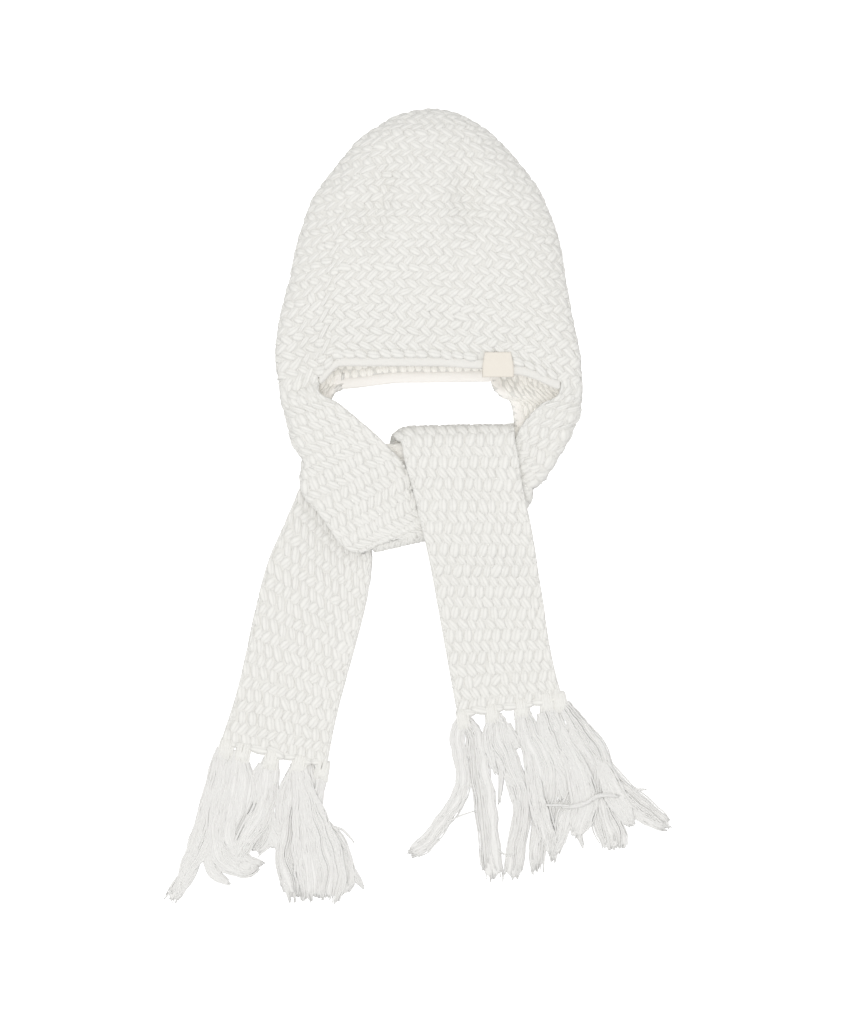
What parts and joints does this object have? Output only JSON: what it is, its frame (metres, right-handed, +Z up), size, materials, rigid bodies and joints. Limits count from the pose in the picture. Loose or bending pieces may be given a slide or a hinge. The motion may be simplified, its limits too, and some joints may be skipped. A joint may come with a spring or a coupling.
{
  "type": "scarf beanie",
  "caption": "Knitted hat with long scarf ties growing from its sides, lying on its back, the ties crossed in a half knot and fringed at the ends.",
  "frame": {"origin": "on the surface the hat lies on, under the middle of the flat back of its crown", "axes": "+Z up out of the surface towards the hat's front, +Y from the tassels to the top of the head, +X to the right as the picture shows it"},
  "size_m": [0.4586, 0.7169, 0.062],
  "materials": {
    "yarn": "soft matt knit",
    "label_cloth": "plain woven tape"
  },
  "bodies": {
    "root": {"crown": "yarn", "front_rim_band": "yarn", "back_rim_band": "yarn", "label": "label_cloth", "scarf_arm_left": "yarn", "scarf_arm_right": "yarn", "tassel_left_1": "yarn", "tassel_left_2": "yarn", "tassel_left_3": "yarn", "tassel_left_4": "yarn", "tassel_left_5": "yarn", "tassel_right_1": "yarn", "tassel_right_2": "yarn", "tassel_right_3": "yarn", "tassel_right_4": "yarn", "tassel_right_5": "yarn"}
  },
  "joints": []
}
